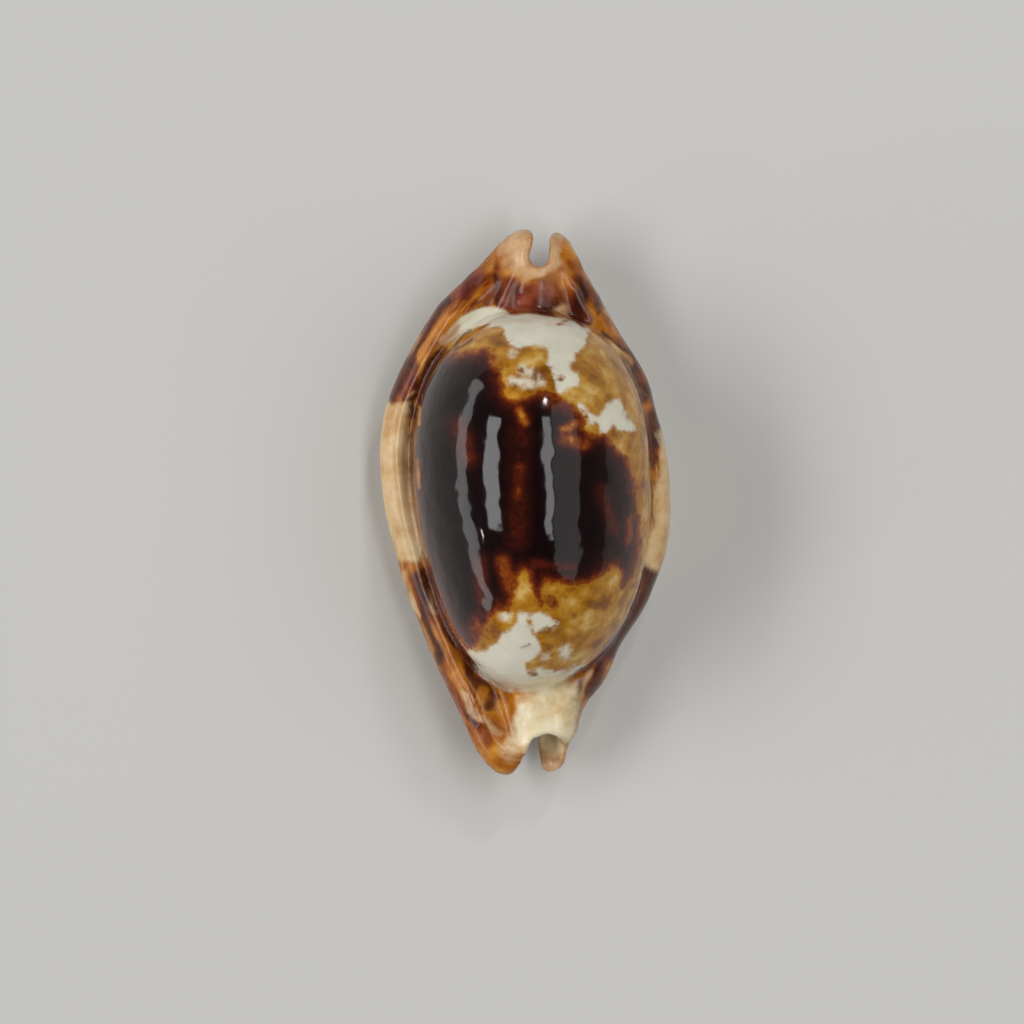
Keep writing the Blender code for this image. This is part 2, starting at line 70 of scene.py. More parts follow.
# The callus of the margins and base, in section
MARGIN_MID_HEIGHT = 2.2
MARGIN_END_LIFT = 1.05
MARGIN_CREST = 4.05
MARGIN_CREST_LIFT = 0.75
MARGIN_CREST_FALL = 0.35
MARGIN_ROUND = 1.45
MARGIN_ROUND_SKEW = 0.2
MARGIN_ROUND_SKEW_WIDTH = 2.0
BASE_ROUND = 4.5
BASE_END_ROUND = 2.2
BASE_FLAT_HALF_LENGTH = 4.5
BASE_FLAT_CUT = 0.08
BASE_RISE_POSTERIOR = 0.020
BASE_RISE_ANTERIOR = 0.015

# The groove between the margin and the dome: its depth, its slope across the margin, how it fades behind
GROOVE_DEPTH = 0.75
GROOVE_SLOPE = (0.95, 2.3)
GROOVE_FADE = 0.6
GROOVE_FADE_SPAN = (8.0, 11.0)

# Where the section changes along the shell, as fractions of the half length
MID_HEIGHT_SPAN = (0.4, 0.95)
CREST_LIFT_SPAN = (0.3, 0.72)
CREST_FALL_SPAN = (0.8, 1.0)
BASE_ROUND_SPAN = (0.35, 0.95)
GROOVE_END_SPAN = (0.88, 1.0)

# The dome of the dorsum, whose middle line swings over to the columellar side in front
DOME_X = 0.28
DOME_SWING = 0.35
DOME_SWING_Y = -5.0
DOME_SWING_LENGTH = 4.5
DOME_Y = 1.5
DOME_Z = 4.2
DOME_HALF_WIDTH = 6.6
DOME_POSTERIOR = 9.05
DOME_ANTERIOR = 11.9
DOME_BELOW = 3.5
DOME_POWER_ACROSS = 2.1
DOME_POWER_POSTERIOR = 2.4
DOME_POWER_ANTERIOR = 2.0
DOME_POWER = 2.05

# The two canal tubes that run out of the dome: start, end, radius at each
POSTERIOR_TUBE = ((0.3, 8.0, 3.9), (0.72, 13.6, 3.15), 2.2, 1.75)
ANTERIOR_TUBE = ((0.7, -8.0, 3.4), (1.1, -13.8, 3.1), 2.3, 1.75)
TUBE_INSET = 0.12

# The aperture: its centreline and its width
APERTURE_LINE = [
    (16.0, 0.90), (13.5, 0.72), (11.5, 0.30), (9.0, -0.45), (6.0, -0.95), (2.0, -1.10), (-2.0, -0.95),
    (-6.0, -0.55), (-10.0, 0.12), (-13.0, 0.42), (-16.0, 0.55),
]
APERTURE_WIDTH = 1.05
FRONT_WIDENING = 0.45
FRONT_WIDENING_SPAN = (4.0, 9.0)
CANAL_NARROWING = 0.95
CANAL_NARROWING_SPAN = (10.5, 13.2)
BACK_NARROWING = 0.1
BACK_NARROWING_SPAN = (4.0, 10.0)
APERTURE_ENDS = (-17.0, 13.6)
APERTURE_TOP = 5.2
CANAL_TOP = 3.1
CANAL_TOP_SPAN = (8.0, 10.5)

# The teeth on both lips
TOOTH_PITCH = 1.37
TOOTH_DEPTH = 0.30
TOOTH_ROW_MIDDLE = -0.3
TOOTH_ROW_HALF = 11.2
TOOTH_ROW_FADE = 1.6
TOOTH_OFFSET = 0.35
TOOTH_SHARPNESS = 0.8
TOOTH_HEIGHTS = (1.6, 2.6)
LABRAL_TOOTH = 2.5
COLUMELLAR_TOOTH = 1.55
TOOTH_FULL = 0.35
SLIT_TOOTH = 0.22
SLIT_TOOTH_HEIGHTS = (1.4, 2.4)
LIP_LIFT = 0.10
LIP_PLACE = 0.2
LIP_WIDTH = 1.3
LIP_HEIGHTS = (1.0, 3.0)

# The columella, the inner whorl that shows through the aperture as a roll
COLUMELLA = ((1.9, -8.5, 3.8), (1.7, 8.0, 4.2), 2.0, 2.2)

# Bores of the canals and the notches at the two ends
POSTERIOR_BORE = ((0.4, 9.0, 3.6), (0.8, 16.0, 2.6), 0.75, 0.60)
ANTERIOR_BORE = ((0.6, -8.0, 3.7), (1.15, -16.0, 3.3), 0.80, 0.90)
NOTCH_THROAT = ((0.77, 13.49, 0.0), (0.95, 14.5, 0.0), 0.57, 0.44)
NOTCH_MOUTH = ((0.95, 14.5, 0.0), (1.10, 16.0, 0.0), 0.44, 0.90)
SPOUT = ((1.32, -13.68, 0.0), (1.42, -16.5, 0.0), 0.92, 1.0)
SPOUT_FLOOR = 3.3
ANTERIOR_SLIT = ((0.52, -13.05, 0.0), (0.30, -14.4, 0.0), 0.05, 0.56)
ANTERIOR_SLIT_MOUTH = ((0.30, -14.4, 0.0), (0.22, -15.4, 0.0), 0.56, 1.25)

# How widely each form runs into the next
SIDES_JOIN = 0.8
TIPS_JOIN = 0.5
SIDES_TO_TIPS_JOIN = 1.0
DOME_JOIN = 0.5
TUBE_EDGE_JOIN = 0.5
POSTERIOR_TUBE_JOIN = 0.6
ANTERIOR_TUBE_JOIN = 0.8
RESTING_EDGE = 0.06
HOLLOW_JOIN = 0.8
SLIT_TOP_JOIN = 0.5
SLIT_END_JOIN = 0.4
SLIT_TO_HOLLOW_JOIN = 0.5
BORE_JOIN = 0.4
APERTURE_EDGE = 0.55
NOTCH_EDGE = 0.45
SPOUT_FLOOR_JOIN = 0.3
SPOUT_EDGE = 0.35
ANTERIOR_SLIT_EDGE = 0.3

# The skin's grain, and how it settles: the step that reads a slope, the shallowest slope that is trusted,
# the longest move, and the share of the way that each point moves towards the middle of its neighbours
SKIN = 0.165
NUDGE = 0.01
SHALLOWEST = 0.3
LONGEST_STEP = 0.2
RELAXATION = 0.4

# The least that anything is divided by
TINY = 1e-6


def soft_min(a, b, blend):
    """The lower of two fields, rounded over where they are within blend of each other."""
    near = np.maximum(blend - np.abs(a - b), 0.0) / blend
    return np.minimum(a, b) - near ** 3 * blend / 6.0


def soft_max(a, b, blend):
    """The higher of two fields, rounded in the same way."""
    return -soft_min(-a, -b, blend)


def ease(value, low, high):
    """0 below low, 1 above high, and a smooth step between."""
    t = np.clip((value - low) / (high - low), 0.0, 1.0)
    return t * t * (3.0 - 2.0 * t)


def spline_table(rows, column, step=0.02):
    """A natural cubic spline through one column of rows, as evenly spaced places and values."""
    rows = sorted(rows)
    place = np.array([row[0] for row in rows])
    value = np.array([row[column] for row in rows])
    gap = np.diff(place)
    slope = np.diff(value) / gap
    system = np.eye(len(place))
    right = np.zeros(len(place))
    for i in range(1, len(place) - 1):
        system[i, i - 1:i + 2] = gap[i - 1], 2.0 * (gap[i - 1] + gap[i]), gap[i]
        right[i] = 6.0 * (slope[i] - slope[i - 1])
    bend = np.linalg.solve(system, right)
    fine = np.arange(place[0], place[-1], step)
    i = np.clip(np.searchsorted(place, fine, side="right") - 1, 0, len(gap) - 1)
    a = (place[i + 1] - fine) / gap[i]
    b = 1.0 - a
    curve = a * value[i] + b * value[i + 1]
    curve += ((a ** 3 - a) * bend[i] + (b ** 3 - b) * bend[i + 1]) * gap[i] ** 2 / 6.0
    return fine, curve


OUTLINE_Y, LABRAL_EDGE = spline_table(MARGIN_OUTLINE, 1)
COLUMELLAR_EDGE = spline_table(MARGIN_OUTLINE, 2)[1]
LABRAL_SLOPE = np.gradient(LABRAL_EDGE, OUTLINE_Y)
COLUMELLAR_SLOPE = np.gradient(COLUMELLAR_EDGE, OUTLINE_Y)
APERTURE_Y, APERTURE_X = spline_table(APERTURE_LINE, 1)


def taper_bar(x, y, z, bar):
    """Distance to a round bar whose radius changes evenly from its start to its end."""
    start, end, radius_start, radius_end = bar
    sx, sy, sz = start
    dx, dy, dz = (end[i] - start[i] for i in range(3))
    t = ((x - sx) * dx + (y - sy) * dy + (z - sz) * dz) / (dx * dx + dy * dy + dz * dz)
    t = np.clip(t, 0.0, 1.0)
    away = np.sqrt((x - sx - t * dx) ** 2 + (y - sy - t * dy) ** 2 + (z - sz - t * dz) ** 2)
    return away - (radius_start + (radius_end - radius_start) * t)


# The outside of the shell

def plan_depth(x, y):
    """How far a place lies inside the outline of the margins, seen from above."""
    labral = x - np.interp(y, OUTLINE_Y, LABRAL_EDGE)
    labral /= np.hypot(1.0, np.interp(y, OUTLINE_Y, LABRAL_SLOPE))
    columellar = np.interp(y, OUTLINE_Y, COLUMELLAR_EDGE) - x
    columellar /= np.hypot(1.0, np.interp(y, OUTLINE_Y, COLUMELLAR_SLOPE))
    posterior = SHELL_LENGTH / 2 + POSTERIOR_TIP_SPARE - POSTERIOR_TIP_SLANT * (x - POSTERIOR_TIP_X) - y
    posterior /= np.hypot(1.0, POSTERIOR_TIP_SLANT)
    anterior = SHELL_LENGTH / 2 + ANTERIOR_TIP_SPARE + y
    tips = soft_min(posterior, anterior, TIPS_JOIN)
    return soft_min(soft_min(labral, columellar, SIDES_JOIN), tips, SIDES_TO_TIPS_JOIN)


def callus(x, y, z, depth):
    """The thick rim of the margins, with the groove inside it, and the gently rounded base."""
    along = np.abs(y) * 2.0 / SHELL_LENGTH
    mid = MARGIN_MID_HEIGHT + MARGIN_END_LIFT * ease(along, *MID_HEIGHT_SPAN)
    crest = MARGIN_CREST + MARGIN_CREST_LIFT * ease(along, *CREST_LIFT_SPAN)
    crest -= MARGIN_CREST_FALL * ease(along, *CREST_FALL_SPAN)
    rise = np.where(y > 0.0, BASE_RISE_POSTERIOR, BASE_RISE_ANTERIOR)
    base = rise * np.maximum(np.abs(y) - BASE_FLAT_HALF_LENGTH, 0.0) ** 2 - BASE_FLAT_CUT
    groove = GROOVE_DEPTH * ease(depth, *GROOVE_SLOPE) * (1.0 - ease(along, *GROOVE_END_SPAN))
    groove *= 1.0 - GROOVE_FADE * ease(y, *GROOVE_FADE_SPAN)
    round_above = MARGIN_ROUND - MARGIN_ROUND_SKEW * np.tanh(x / MARGIN_ROUND_SKEW_WIDTH)
    round_below = BASE_ROUND + (BASE_END_ROUND - BASE_ROUND) * ease(along, *BASE_ROUND_SPAN)
    inset_above = np.maximum(1.0 - depth / round_above, 0.0)
    inset_below = np.maximum(1.0 - depth / round_below, 0.0)
    up = np.maximum(z - mid + groove, 0.0) / (crest - mid)
    down = np.minimum(z - mid, 0.0) / (mid - base)
    above = (np.hypot(inset_above, up) - 1.0) * round_above
    below = (np.hypot(inset_below, down) - 1.0) * round_below
    body = np.where(z > mid - groove, above, below)
    return np.where(depth < 0.0, np.maximum(body, -depth), body)


def dome(x, y, z, grow=0.0):
    """The egg of the dorsum, blunt behind and drawn out in front; grow moves its surface outwards."""
    centre = DOME_X + DOME_SWING * np.exp(-((y - DOME_SWING_Y) / DOME_SWING_LENGTH) ** 2)
    length = np.where(y > DOME_Y, DOME_POSTERIOR, DOME_ANTERIOR) + grow
    power = np.where(y > DOME_Y, DOME_POWER_POSTERIOR, DOME_POWER_ANTERIOR)
    height = np.where(z > DOME_Z, DORSUM_TOP - DOME_Z, DOME_BELOW) + grow
    across = (np.abs(x - centre) / (DOME_HALF_WIDTH + grow)) ** DOME_POWER_ACROSS
    ratio = across + (np.abs(y - DOME_Y) / length) ** power + ((z - DOME_Z) / height) ** 2
    ratio = ratio ** (1.0 / DOME_POWER)
    reach = np.sqrt((x - centre) ** 2 + (y - DOME_Y) ** 2 + (z - DOME_Z) ** 2)
    return (ratio - 1.0) * reach / np.maximum(ratio, TINY)


def outside(x, y, z):
    """The whole shell as if it were solid, cut flat where it rests."""
    depth = plan_depth(x, y)
    body = soft_min(callus(x, y, z, depth), dome(x, y, z), DOME_JOIN)
    for tube, join in ((POSTERIOR_TUBE, POSTERIOR_TUBE_JOIN), (ANTERIOR_TUBE, ANTERIOR_TUBE_JOIN)):
        body = soft_min(body, soft_max(taper_bar(x, y, z, tube), TUBE_INSET - depth, TUBE_EDGE_JOIN), join)
    return soft_max(body, -z, RESTING_EDGE)


# The inside, the aperture and the ends

def aperture_half_width(y):
    """The slit widens towards the front and narrows again into the anterior canal."""
    width = APERTURE_WIDTH + FRONT_WIDENING * ease(-y, *FRONT_WIDENING_SPAN)
    width -= CANAL_NARROWING * ease(-y, *CANAL_NARROWING_SPAN)
    width -= BACK_NARROWING * ease(y, *BACK_NARROWING_SPAN)
    return width / 2.0


def aperture_top(y):
    """The slit reaches the hollow in the middle, and only the canals at the ends."""
    return APERTURE_TOP - (APERTURE_TOP - CANAL_TOP) * ease(np.abs(y), *CANAL_TOP_SPAN)


def teeth(y, across, half):
    """The two rows of teeth, half a pitch apart: the dips between the teeth, and how far those reach."""
    row = 1.0 - ease(np.abs(y - TOOTH_ROW_MIDDLE), TOOTH_ROW_HALF - TOOTH_ROW_FADE, TOOTH_ROW_HALF)
    between = 0.5 - 0.5 * np.cos(2.0 * np.pi * (y + TOOTH_OFFSET * np.sign(across)) / TOOTH_PITCH)
    between = between ** TOOTH_SHARPNESS
    reach = np.where(across < 0.0, LABRAL_TOOTH, COLUMELLAR_TOOTH)
    beside = 1.0 - ease(np.abs(across) - half, TOOTH_FULL * reach, reach)
    return between, row, beside


def solid_field(points):
    """The shell itself: the outside less the hollow, the aperture, the canals and the notches."""
    x, y, z = points[:, 0], points[:, 1], points[:, 2]
    across = x - np.interp(y, APERTURE_Y, APERTURE_X)
    half = aperture_half_width(y)
    between, row, beside = teeth(y, across, half)
    low = 1.0 - ease(z, *TOOTH_HEIGHTS)
    lip = np.exp(-((np.abs(across) - LIP_PLACE) / LIP_WIDTH) ** 2) * (1.0 - ease(z, *LIP_HEIGHTS))
    body = outside(x, y, z) + TOOTH_DEPTH * between * beside * row * low + LIP_LIFT * lip

    hollow = soft_max(dome(x, y, z, -WALL), BASE_WALL - z, HOLLOW_JOIN)
    hollow = soft_max(hollow, -taper_bar(x, y, z, COLUMELLA), HOLLOW_JOIN)
    slit = soft_max(np.abs(across) - half, z - aperture_top(y), SLIT_TOP_JOIN)
    slit = soft_max(slit, np.maximum(y - APERTURE_ENDS[1], APERTURE_ENDS[0] - y), SLIT_END_JOIN)
    slit += SLIT_TOOTH * (1.0 - between) * row * (1.0 - ease(z, *SLIT_TOOTH_HEIGHTS))
    hollow = soft_min(hollow, slit, SLIT_TO_HOLLOW_JOIN)
    for bore in (POSTERIOR_BORE, ANTERIOR_BORE):
        hollow = soft_min(hollow, taper_bar(x, y, z, bore), BORE_JOIN)
    body = soft_max(body, -hollow, APERTURE_EDGE)

    flat = np.zeros_like(z)
    notch = np.minimum(taper_bar(x, y, flat, NOTCH_THROAT), taper_bar(x, y, flat, NOTCH_MOUTH))
    spout = soft_max(taper_bar(x, y, flat, SPOUT), SPOUT_FLOOR - z, SPOUT_FLOOR_JOIN)
    body = soft_max(body, -notch, NOTCH_EDGE)
    body = soft_max(body, -spout, SPOUT_EDGE)
    slit = np.minimum(taper_bar(x, y, flat, ANTERIOR_SLIT), taper_bar(x, y, flat, ANTERIOR_SLIT_MOUTH))
    return soft_max(body, -slit, ANTERIOR_SLIT_EDGE)


def field_slope(place):
    """The field and its slope at each place."""
    value = solid_field(place)
    slope = np.empty_like(place)
    for axis in range(3):
        shifted = place.copy()
        shifted[:, axis] += NUDGE
        slope[:, axis] = (solid_field(shifted) - value) / NUDGE
    return value, slope


def settle(place, edges, rounds, relax_rounds):
    """Move every point onto the surface of the shell, evening the skin out on the way."""
    links = np.bincount(edges.ravel(), minlength=len(place))[:, None]
    for turn in range(rounds):
        value, slope = field_slope(place)
        steep = np.linalg.norm(slope, axis=1)
        step = np.clip(value / np.maximum(steep, SHALLOWEST), -LONGEST_STEP, LONGEST_STEP)
        place -= (step / np.maximum(steep, TINY))[:, None] * slope
        if turn < relax_rounds:
            total = np.zeros_like(place)
            for axis in range(3):
                total[:, axis] += np.bincount(edges[:, 0], place[edges[:, 1], axis], len(place))
                total[:, axis] += np.bincount(edges[:, 1], place[edges[:, 0], axis], len(place))
            place += RELAXATION * (total / links - place)
    return place


# The even skin, in millimetres, over the solid with its seams welded
WELD = 1e-6
cast = bmesh.new()
cast.from_mesh(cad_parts["shell"].data)
bmesh.ops.remove_doubles(cast, verts=cast.verts, dist=WELD)
bmesh.ops.scale(cast, vec=(1 / MM,) * 3, verts=cast.verts)
rough = bpy.data.meshes.new("rough skin")
cast.to_mesh(rough)
cast.free()
shell = bpy.data.objects.new("patterned_shell", rough)
bpy.context.scene.collection.objects.link(shell)
skin = shell.modifiers.new("skin", "REMESH")
skin.mode = "VOXEL"
skin.voxel_size = SKIN
graph = bpy.context.evaluated_depsgraph_get()
mesh = bpy.data.meshes.new_from_object(shell.evaluated_get(graph))
shell.modifiers.clear()
shell.data = mesh

place = np.empty(len(mesh.vertices) * 3)
mesh.vertices.foreach_get("co", place)
place = place.reshape(-1, 3)
edges = np.empty(len(mesh.edges) * 2, dtype=int)
mesh.edges.foreach_get("vertices", edges)
edges = edges.reshape(-1, 2)
place = settle(place, edges, rounds=12, relax_rounds=6)
x, y, z = place.T
envelope = outside(x, y, z)

# The pattern, as flat outlines and strokes laid on the shell from above, in millimetres.
# Each outline is a loop that is rounded through its points, and each stroke is a radius and a route.
# The dorsum's edge comes first, and then the white patches and dots, the dark coat and the brown spots.
DORSUM_EDGE = [
    (-4.5, 8.9), (-5.0, 8.0), (-5.6, 6.9), (-6.0, 5.5), (-6.3, 3.8), (-6.3, 2.3), (-6.1, 0.6), (-5.8, -1.1),
    (-5.5, -2.8), (-5.0, -4.7), (-4.3, -6.1), (-3.8, -7.3), (-3.2, -8.4), (-2.5, -9.6), (-1.9, -10.0),
    (-1.2, -10.4), (-0.3, -10.5), (0.8, -10.3), (1.9, -9.9), (3.0, -9.2), (4.1, -8.4), (5.0, -7.2),
    (5.7, -6.1), (6.2, -4.9), (6.5, -3.5), (6.7, -2.1), (6.9, -0.7), (6.9, 0.6), (6.8, 2.8), (6.7, 5.3),
    (6.2, 6.9), (5.5, 8.1), (4.5, 8.8), (3.6, 9.5), (2.8, 9.9), (1.6, 10.1), (0.9, 10.2), (0.3, 10.3),
    (-0.7, 10.2), (-1.2, 10.6), (-2.0, 10.7), (-3.0, 10.4), (-3.9, 9.8),
]
WHITE = [
    [(-4.6, 8.6), (-4.1, 9.4), (-3.5, 10.1), (-2.4, 10.7), (-1.1, 10.6), (0.8, 10.5), (2.6, 10.3),
     (3.6, 9.8), (3.4, 9.0), (3.1, 8.3), (2.7, 8.0), (2.5, 7.3), (2.9, 6.6), (2.3, 6.2), (2.0, 5.8),
     (1.7, 6.0), (1.6, 6.7), (1.3, 7.5), (1.2, 8.2), (0.6, 8.5), (-0.3, 8.4), (-0.6, 8.6), (-1.1, 9.1),
     (-1.3, 9.5), (-1.8, 9.7), (-2.5, 9.6), (-3.1, 9.4), (-3.8, 9.1)],
    [(2.9, 5.2), (3.2, 5.3), (3.6, 4.9), (4.0, 4.8), (4.4, 5.0), (4.6, 5.4), (4.8, 5.6), (5.1, 5.6),
     (5.3, 5.2), (5.5, 4.7), (5.7, 4.4), (5.9, 3.9), (5.5, 3.8), (5.1, 3.9), (4.8, 4.2), (4.5, 3.9),
     (4.3, 3.8), (4.0, 4.2), (3.6, 4.3), (3.2, 4.7)],
    [(-3.9, -7.3), (-3.4, -7.8), (-2.9, -8.2), (-2.5, -8.2), (-1.9, -8.0), (-1.5, -7.7), (-1.3, -7.3),
     (-0.9, -7.1), (-0.6, -6.6), (-0.5, -6.1), (-0.2, -6.0), (0.2, -6.1), (0.2, -6.6), (0.3, -7.2),
     (0.6, -7.7), (0.8, -8.2), (0.4, -8.6), (0.1, -8.9), (0.1, -9.3), (0.8, -9.2), (1.5, -9.4), (2.3, -9.3),
     (2.8, -8.9), (3.2, -9.2), (1.9, -10.5), (-1.4, -11.0), (-3.0, -9.9), (-4.1, -8.2)],
    [(0.3, -6.4), (0.6, -6.1), (1.1, -6.1), (1.6, -6.4), (1.8, -6.7), (1.4, -7.0), (0.8, -7.0),
     (0.5, -7.0)],
]
WHITE_DOTS = [
    (0.25, [(2.2, -8.1), (2.2, -8.3)]), (0.14, [(1.1, -8.5)]), (0.2, [(-1.1, -6.2)]),
    (0.2, [(-0.2, 7.2), (0.3, 7.0)]), (0.15, [(-0.7, 8.1)]),
    (0.3, [(-3.9, 9.3), (-3.0, 10.1), (-1.8, 10.3)]), (0.2, [(-0.7, 6.6), (0.3, 6.4)]),
    (0.15, [(0.7, 6.8), (0.9, 6.5)]),
]
DARK = [
    [(-5.2, 8.1), (-4.4, 8.2), (-3.6, 8.3), (-2.8, 8.3), (-2.1, 8.4), (-1.6, 8.0), (-1.4, 7.3), (-1.2, 6.5),
     (-0.9, 5.8), (-0.3, 5.7), (0.3, 6.0), (0.8, 6.1), (1.4, 6.0), (1.9, 5.7), (2.6, 5.4), (3.1, 5.0),
     (3.4, 4.5), (3.3, 4.0), (3.7, 3.8), (4.5, 3.7), (4.8, 3.2), (5.3, 2.7), (5.7, 2.4), (5.9, 1.7),
     (6.2, 1.0), (6.3, -0.6), (6.4, -1.8), (6.4, -2.8), (6.2, -3.6), (5.8, -4.4), (5.4, -4.9), (5.1, -4.7),
     (5.1, -4.0), (4.8, -3.7), (4.3, -4.1), (3.6, -4.5), (2.6, -4.7), (1.7, -4.6), (1.1, -4.5), (1.0, -4.9),
     (1.1, -5.7), (0.7, -5.8), (0.4, -5.1), (0.2, -4.5), (-0.1, -4.0), (-0.3, -4.5), (-0.5, -5.2),
     (-0.8, -5.9), (-1.5, -6.0), (-1.9, -6.5), (-2.2, -7.3), (-2.6, -7.9), (-3.1, -8.2), (-4.0, -7.2),
     (-4.8, -5.7), (-5.5, -3.9), (-6.0, -2.2), (-6.3, 0.1), (-6.5, 2.2), (-6.5, 3.9), (-6.2, 5.8),
     (-5.8, 7.1)],
]
DARK_STROKES = [
    (0.4, [(1.4, -5.4), (1.6, -5.5)]),
]
# Where the dark coat is thin, so that the red-brown under it shows: how thin, how wide and the route
THIN = [
    (0.95, 0.5, [(-0.3, 4.9), (0.0, 4.3)]), (0.75, 0.6, [(-0.3, 1.9), (-0.4, 0.3)]),
    (0.55, 1.1, [(-0.3, 4.8), (-0.4, -2.2)]), (0.85, 0.7, [(2.2, 3.4), (3.2, 3.1)]),
    (0.9, 0.5, [(2.1, 3.9), (2.7, 4.2)]), (0.8, 0.6, [(5.8, -1.0), (5.6, -2.2)]),
    (0.8, 0.8, [(-1.2, -3.2), (-0.9, -4.6)]), (0.75, 0.8, [(-2.5, -6.4), (-3.0, -7.6)]),
    (0.65, 0.5, [(0.5, -3.4), (2.6, -3.6)]), (1.0, 0.2, [(-5.8, 5.2), (-5.8, 4.2)]),
    (1.0, 0.2, [(-5.9, 2.3), (-5.8, 0.7)]), (0.9, 0.5, [(-2.0, 8.2), (-1.6, 7.2)]),
    (0.55, 0.9, [(-3.4, 8.2), (-2.2, 7.8)]), (0.75, 0.7, [(1.2, 5.6), (2.6, 4.9)]),
    (0.65, 1.0, [(-3.7, 4.2), (-3.1, 2.4)]), (0.65, 0.8, [(-2.5, -3.3), (-2.3, -5.4)]),
    (0.6, 0.8, [(4.2, 0.6), (4.9, -1.6)]),
]
SPOTS = [
    (0.2, [(0.6, 7.0)]), (0.1, [(1.1, 7.1), (1.9, 6.9)]), (0.2, [(-0.2, 7.2)]),
    (0.2, [(-1.4, 8.8), (-0.8, 8.7)]), (0.12, [(-1.2, 7.5)]), (0.16, [(0.0, -7.9), (0.1, -7.9)]),
    (0.25, [(1.4, -5.5)]), (0.14, [(2.5, -5.0)]), (0.3, [(3.9, -5.6)]), (0.16, [(2.6, -6.3)]),
    (0.13, [(1.2, -7.7)]), (0.12, [(1.5, -8.3)]), (0.14, [(0.4, -9.2)]), (0.12, [(0.7, -9.6)]),
    (0.16, [(1.1, -7.0), (2.0, -7.0)]), (0.2, [(5.0, 3.6)]), (0.14, [(6.3, 6.3), (6.4, 5.2)]),
    (0.15, [(6.3, -3.6)]), (0.22, [(5.2, -5.2), (5.3, -5.9)]), (0.2, [(6.0, -4.7)]), (0.1, [(2.1, 9.8)]),
]
# The two cream bands of the margins
CREAM = [
    [(-8.4, 5.4), (-7.2, 5.3), (-6.7, 5.4), (-6.4, 5.2), (-6.5, 3.4), (-6.4, 1.5), (-6.2, 0.1),
     (-6.0, -1.1), (-5.7, -2.6), (-5.8, -3.3), (-6.3, -3.3), (-7.3, -3.1), (-8.5, -2.1)],
    [(7.3, 3.8), (7.5, 3.1), (7.4, 2.2), (7.4, 1.4), (7.2, 1.0), (7.1, 0.1), (7.1, -1.3), (6.9, -1.8),
     (6.6, -2.2), (6.4, -2.8), (6.4, -3.2), (6.8, -3.6), (7.2, -3.8), (7.7, -3.7), (8.8, -2.4), (9.0, 1.2),
     (8.1, 3.9)],
]
# Soft washes of colour on the margins and ends, as strokes: how strong, how wide and the route
AMBER_WASH = [
    (1, 0.6, [(-1.2, 14.4), (-1.4, 13.5), (-1.1, 12.6), (-0.2, 12.1), (0.9, 12.0), (1.9, 12.2), (2.4, 13.1),
              (2.5, 14.0)]),
    (0.9, 0.6, [(1.7, 12.0), (2.0, 11.1)]),
    (0.95, 0.55, [(-4.1, 10.3), (-4.9, 9.4), (-5.6, 8.4), (-6.1, 7.6)]),
    (1, 0.5, [(-6.3, -3.6), (-5.8, -3.9)]), (0.95, 0.6, [(-4.8, -7.1), (-4.2, -8.3), (-3.5, -9.9)]),
    (1, 0.6, [(-2.5, -12.9), (-1.8, -13.7), (-1.0, -14.6)]), (0.9, 0.4, [(2.3, -10.6), (2.4, -12.5)]),
    (0.9, 0.5, [(3.6, 10.8), (4.1, 9.9), (5.1, 8.8)]), (1, 0.4, [(6.2, -3.7), (6.4, -4.4)]),
    (0.8, 0.45, [(4.1, -7.6), (3.7, -9.4)]), (0.8, 0.3, [(-6.5, 5.0), (-6.4, 3.4)]),
    (0.8, 0.3, [(-6.8, -1.0), (-6.2, -2.8)]), (1, 0.45, [(6.3, 5.4), (6.8, 4.3)]),
    (0.9, 0.35, [(-0.3, -11.2), (0.4, -11.4)]), (0.9, 0.3, [(-0.6, -11.4), (-0.4, -11.8)]),
    (0.9, 0.3, [(-1.1, -12.2), (-0.9, -12.7)]), (0.8, 0.5, [(-2.4, 11.4), (-1.5, 10.9)]),
    (1, 0.9, [(-1.7, -10.8), (-0.9, -11.7), (-1.4, -12.9)]), (0.9, 0.5, [(2.1, 14.1), (2.3, 13.2)]),
    (1, 0.7, [(-1.6, -11.6), (-0.6, -11.1), (0.0, -11.3)]),
]
RUST_WASH = [
    (1, 0.6, [(-2.8, 12.6), (-3.4, 11.6), (-4.1, 10.8)]), (0.9, 0.45, [(-2.1, 12.2), (-2.0, 10.9)]),
    (1, 0.65, [(-6.4, 7.5), (-6.7, 6.6), (-6.8, 5.6)]),
    (0.9, 0.4, [(-4.6, 10.7), (-5.2, 9.7), (-5.9, 8.7)]),
    (1, 0.5, [(-3.2, -11.2), (-2.7, -12.2), (-1.9, -13.3)]),
    (1, 0.45, [(-6.0, -4.1), (-5.7, -5.4), (-5.1, -6.7)]),
    (0.9, 0.4, [(-4.9, -5.8), (-4.1, -7.1), (-3.4, -8.4), (-2.5, -10.0)]),
    (0.9, 0.35, [(-4.8, -8.5), (-4.1, -10.0), (-3.5, -11.2)]),
    (0.9, 0.55, [(4.5, -8.0), (4.0, -8.9), (3.2, -9.8)]),
    (0.9, 0.4, [(2.9, -10.4), (2.9, -11.7), (2.6, -13.0)]),
    (0.8, 0.4, [(2.6, 13.2), (3.0, 12.3), (3.7, 11.1)]), (0.95, 0.5, [(6.6, 3.6), (6.8, 2.4)]),
    (0.9, 0.35, [(5.3, 9.0), (6.2, 7.6), (6.8, 6.1)]), (0.9, 0.5, [(2.3, 11.5), (2.6, 10.2)]),
    (0.8, 0.2, [(-6.4, 5.3), (-6.3, 4.2), (-6.2, 2.6)]), (0.8, 0.55, [(7.0, -3.5), (6.3, -5.8)]),
]
